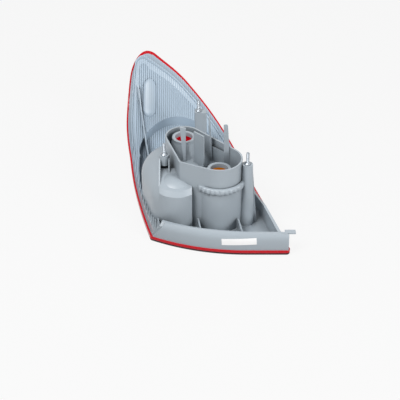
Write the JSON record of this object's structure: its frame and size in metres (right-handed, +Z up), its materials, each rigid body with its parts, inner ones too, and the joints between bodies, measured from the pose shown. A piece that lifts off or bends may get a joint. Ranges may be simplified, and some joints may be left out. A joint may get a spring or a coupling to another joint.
{
  "type": "tail light cluster",
  "caption": "Car tail light cluster on its lens, back up: fluted sail-shaped moulded housing with reflector bowls, an open bulb bay, threaded studs and a bent red lens with an amber window.",
  "frame": {"origin": "middle of the bounding box in plan, on the ground plane under the flat part of the lens", "axes": "+Z up along the studs, -Y towards the base wall, +Y towards the pointed tip, +X to the tab"},
  "size_m": [0.2641, 0.39, 0.16],
  "materials": {
    "housing": "satin moulded",
    "red_lens": "gloss",
    "amber_lens": "gloss",
    "mounting_studs": "zinc",
    "label": "matt"
  },
  "bodies": {
    "root": {"housing": "housing", "red_lens": "red_lens", "amber_lens": "amber_lens", "mounting_studs": "mounting_studs", "label": "label"}
  },
  "joints": []
}
